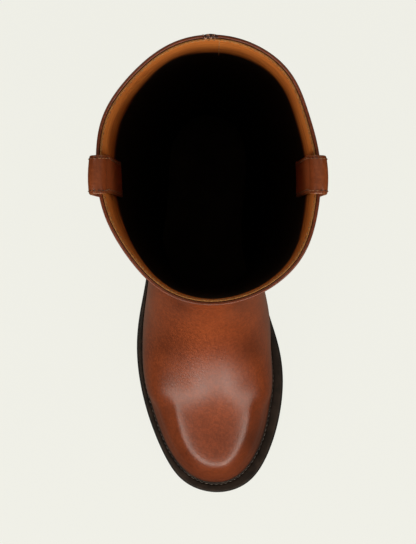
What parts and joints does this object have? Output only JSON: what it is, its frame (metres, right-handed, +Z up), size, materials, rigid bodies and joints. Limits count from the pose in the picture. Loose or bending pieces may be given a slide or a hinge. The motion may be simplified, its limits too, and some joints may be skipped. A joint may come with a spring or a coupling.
{
  "type": "knee-high boot",
  "caption": "Right knee-high pull-on boot in smooth brown leather, with a round toe, a block heel, a welted rubber sole and two pull straps at the collar.",
  "frame": {"origin": "middle of the heel's flat underside, on the floor", "axes": "+Z up the shaft, -Y towards the toe, +X towards the inner (medial) side"},
  "size_m": [0.1198, 0.2772, 0.4149],
  "materials": {
    "upper_leather": "smooth, waxed and burnished",
    "lining_leather": "smooth, matt lining leather",
    "strap_leather": "smooth, stitched along both edges",
    "welt": "black, stitched",
    "sole_rubber": "matt black",
    "heel_block": "black, lightly polished"
  },
  "bodies": {
    "root": {"upper": "upper_leather", "welt": "welt", "insole": "lining_leather", "outsole": "sole_rubber", "heel": "heel_block", "heel_lift": "sole_rubber", "pull_strap_lateral": "strap_leather", "pull_strap_medial": "strap_leather"}
  },
  "joints": []
}
